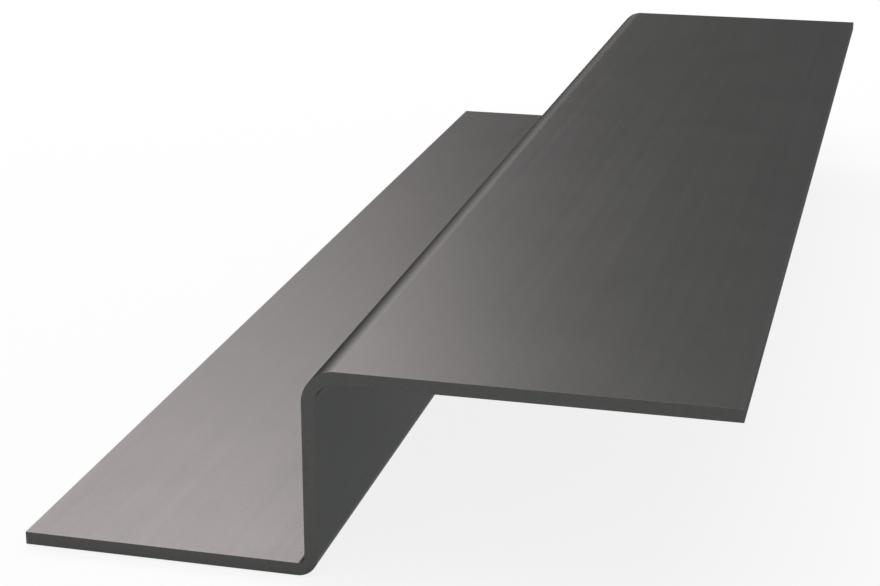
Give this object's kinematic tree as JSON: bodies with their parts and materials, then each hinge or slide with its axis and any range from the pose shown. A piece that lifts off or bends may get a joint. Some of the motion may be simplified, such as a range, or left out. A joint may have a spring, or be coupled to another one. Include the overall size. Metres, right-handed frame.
{
  "type": "z profile",
  "caption": "Thin folded sheet profile of Z section: a narrow lower flange, an upright web and a wider upper flange running the other way.",
  "frame": {"origin": "middle of the lower flange's underside, the face that is fixed down", "axes": "+Y along the profile, +Z from the lower flange up to the upper one, +X towards the upper flange's free edge"},
  "size_m": [0.0692, 0.186, 0.021],
  "materials": {
    "dark_grey_coat": "satin dark grey coat over zinc-coated steel sheet, on both faces and on the cut edges"
  },
  "bodies": {
    "root": {"z_profile": "dark_grey_coat"}
  },
  "joints": []
}
